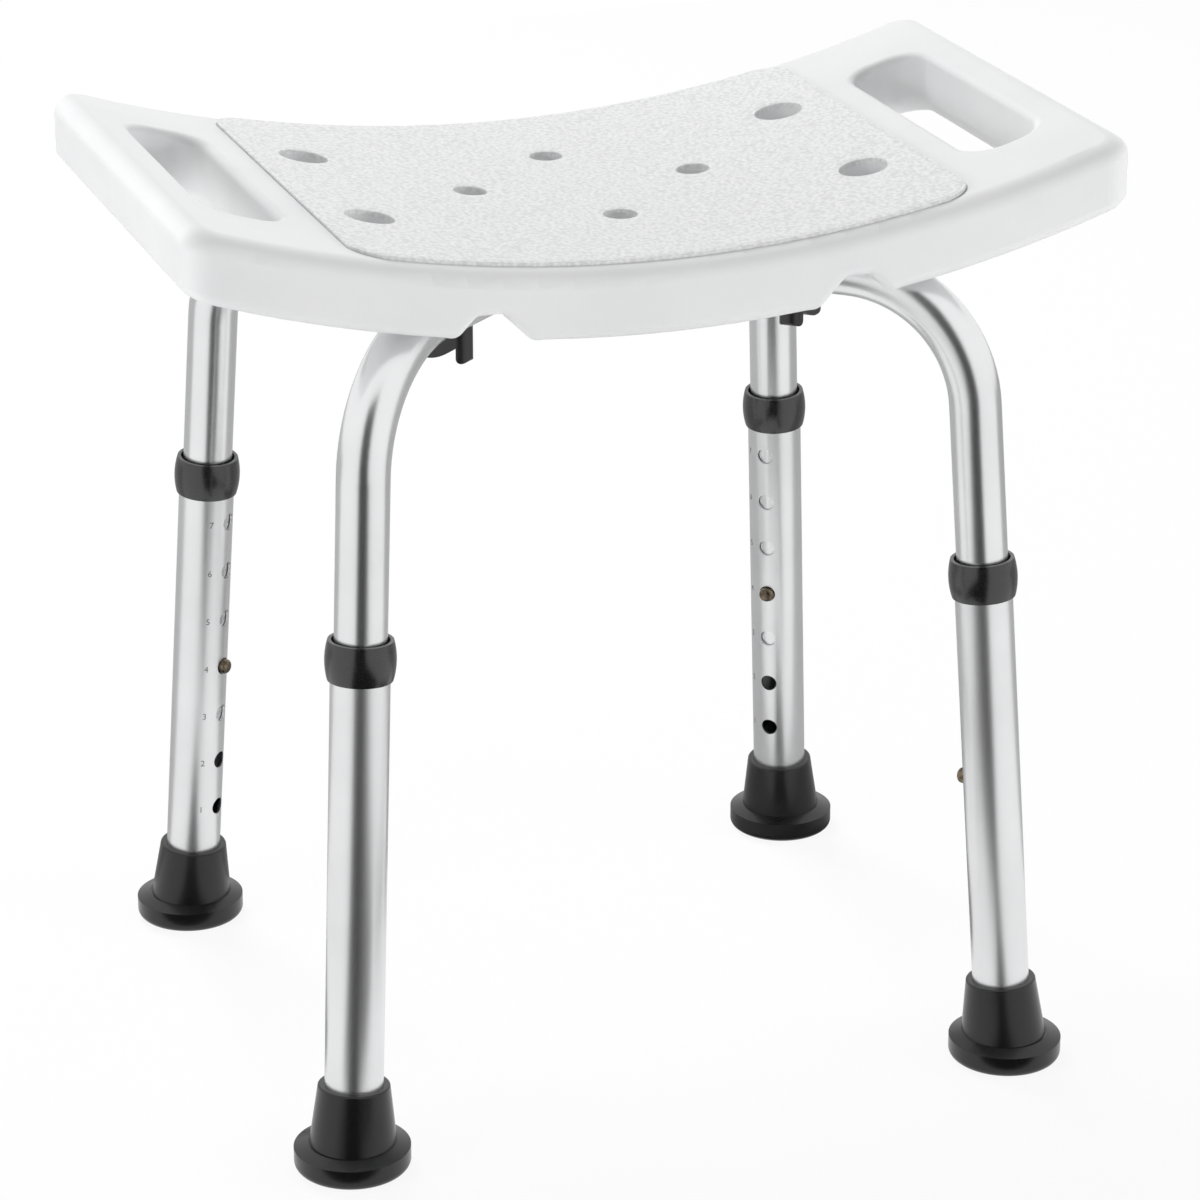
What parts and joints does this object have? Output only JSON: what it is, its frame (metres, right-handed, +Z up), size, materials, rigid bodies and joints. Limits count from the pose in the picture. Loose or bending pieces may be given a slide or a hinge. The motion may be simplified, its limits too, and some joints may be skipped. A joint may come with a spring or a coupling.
{
  "type": "shower stool",
  "caption": "Bath stool with a dished moulded seat, end hand openings and drain holes, on splayed telescoping tube legs with snap-button height holes, collars and rubber feet.",
  "frame": {"origin": "on the floor, below the middle of the seat", "axes": "+X along the seat, +Y towards its back long side, +Z up"},
  "size_m": [0.47, 0.3604, 0.469],
  "materials": {
    "seat_plastic": "satin white",
    "panel_plastic": "pebbled white",
    "frame_aluminium": "satin anodised",
    "leg_aluminium": "satin anodised",
    "collar_plastic": "satin charcoal",
    "foot_rubber": "moulded charcoal",
    "washer_steel": "zinc plated",
    "button_metal": "dull brass",
    "spring_steel": "spring steel",
    "clip_plastic": "satin charcoal",
    "screw_steel": "zinc plated",
    "plug_plastic": "black"
  },
  "bodies": {
    "seat": {"seat_moulding": "seat_plastic", "anti_slip_panel": "panel_plastic", "frame_tube_front_left": "frame_aluminium", "tube_plug_front_left": "plug_plastic", "snap_spring_front_left": "spring_steel", "clip_screw_front_left": "screw_steel", "frame_tube_front_right": "frame_aluminium", "tube_plug_front_right": "plug_plastic", "snap_spring_front_right": "spring_steel", "clip_screw_front_right": "screw_steel", "frame_tube_back_left": "frame_aluminium", "tube_plug_back_left": "plug_plastic", "snap_spring_back_left": "spring_steel", "clip_screw_back_left": "screw_steel", "frame_tube_back_right": "frame_aluminium", "tube_plug_back_right": "plug_plastic", "snap_spring_back_right": "spring_steel", "clip_screw_back_right": "screw_steel"},
    "leg_front_left": {"leg_tube_front_left": "leg_aluminium", "leg_collar_front_left": "collar_plastic", "foot_front_left": "foot_rubber", "foot_washer_front_left": "washer_steel"},
    "button_front_left": {"snap_button_front_left": "button_metal"},
    "clip_front_left": {"tube_clip_front_left": "clip_plastic"},
    "leg_front_right": {"leg_tube_front_right": "leg_aluminium", "leg_collar_front_right": "collar_plastic", "foot_front_right": "foot_rubber", "foot_washer_front_right": "washer_steel"},
    "button_front_right": {"snap_button_front_right": "button_metal"},
    "clip_front_right": {"tube_clip_front_right": "clip_plastic"},
    "leg_back_left": {"leg_tube_back_left": "leg_aluminium", "leg_collar_back_left": "collar_plastic", "foot_back_left": "foot_rubber", "foot_washer_back_left": "washer_steel"},
    "button_back_left": {"snap_button_back_left": "button_metal"},
    "clip_back_left": {"tube_clip_back_left": "clip_plastic"},
    "leg_back_right": {"leg_tube_back_right": "leg_aluminium", "leg_collar_back_right": "collar_plastic", "foot_back_right": "foot_rubber", "foot_washer_back_right": "washer_steel"},
    "button_back_right": {"snap_button_back_right": "button_metal"},
    "clip_back_right": {"tube_clip_back_right": "clip_plastic"}
  },
  "joints": [
    {"name": "leg_front_left_height", "type": "slide", "parent": "seat", "child": "leg_front_left", "axis": [0.0531, 0.0578, 0.9969], "range_m": [-0.0825, 0.0825]},
    {"name": "button_front_left_press", "type": "slide", "parent": "seat", "child": "button_front_left", "axis": [-0.6887, -0.7208, 0.0785], "range_m": [0, 0.00525], "stiffness_N_per_m": 2000, "springref_m": -0.002, "deforming": ["snap_spring_front_left"]},
    {"name": "clip_front_left_turn", "type": "hinge", "parent": "seat", "child": "clip_front_left", "pos_m": [-0.09588, -0.05316, 0.3918], "axis": [0, 0, 1], "range_deg": [0, 90]},
    {"name": "leg_front_right_height", "type": "slide", "parent": "seat", "child": "leg_front_right", "axis": [-0.0531, 0.0578, 0.9969], "range_m": [-0.0825, 0.0825]},
    {"name": "button_front_right_press", "type": "slide", "parent": "seat", "child": "button_front_right", "axis": [0.6887, -0.7208, 0.0785], "range_m": [0, 0.00525], "stiffness_N_per_m": 2000, "springref_m": -0.002, "deforming": ["snap_spring_front_right"]},
    {"name": "clip_front_right_turn", "type": "hinge", "parent": "seat", "child": "clip_front_right", "pos_m": [0.09588, -0.05316, 0.3918], "axis": [0, 0, -1], "range_deg": [0, 90]},
    {"name": "leg_back_left_height", "type": "slide", "parent": "seat", "child": "leg_back_left", "axis": [0.0531, -0.0578, 0.9969], "range_m": [-0.0825, 0.0825]},
    {"name": "button_back_left_press", "type": "slide", "parent": "seat", "child": "button_back_left", "axis": [-0.6887, 0.7208, 0.0785], "range_m": [0, 0.00525], "stiffness_N_per_m": 2000, "springref_m": -0.002, "deforming": ["snap_spring_back_left"]},
    {"name": "clip_back_left_turn", "type": "hinge", "parent": "seat", "child": "clip_back_left", "pos_m": [-0.09588, 0.05316, 0.3918], "axis": [0, 0, -1], "range_deg": [0, 90]},
    {"name": "leg_back_right_height", "type": "slide", "parent": "seat", "child": "leg_back_right", "axis": [-0.0531, -0.0578, 0.9969], "range_m": [-0.0825, 0.0825]},
    {"name": "button_back_right_press", "type": "slide", "parent": "seat", "child": "button_back_right", "axis": [0.6887, 0.7208, 0.0785], "range_m": [0, 0.00525], "stiffness_N_per_m": 2000, "springref_m": -0.002, "deforming": ["snap_spring_back_right"]},
    {"name": "clip_back_right_turn", "type": "hinge", "parent": "seat", "child": "clip_back_right", "pos_m": [0.09588, 0.05316, 0.3918], "axis": [0, 0, 1], "range_deg": [0, 90]}
  ]
}
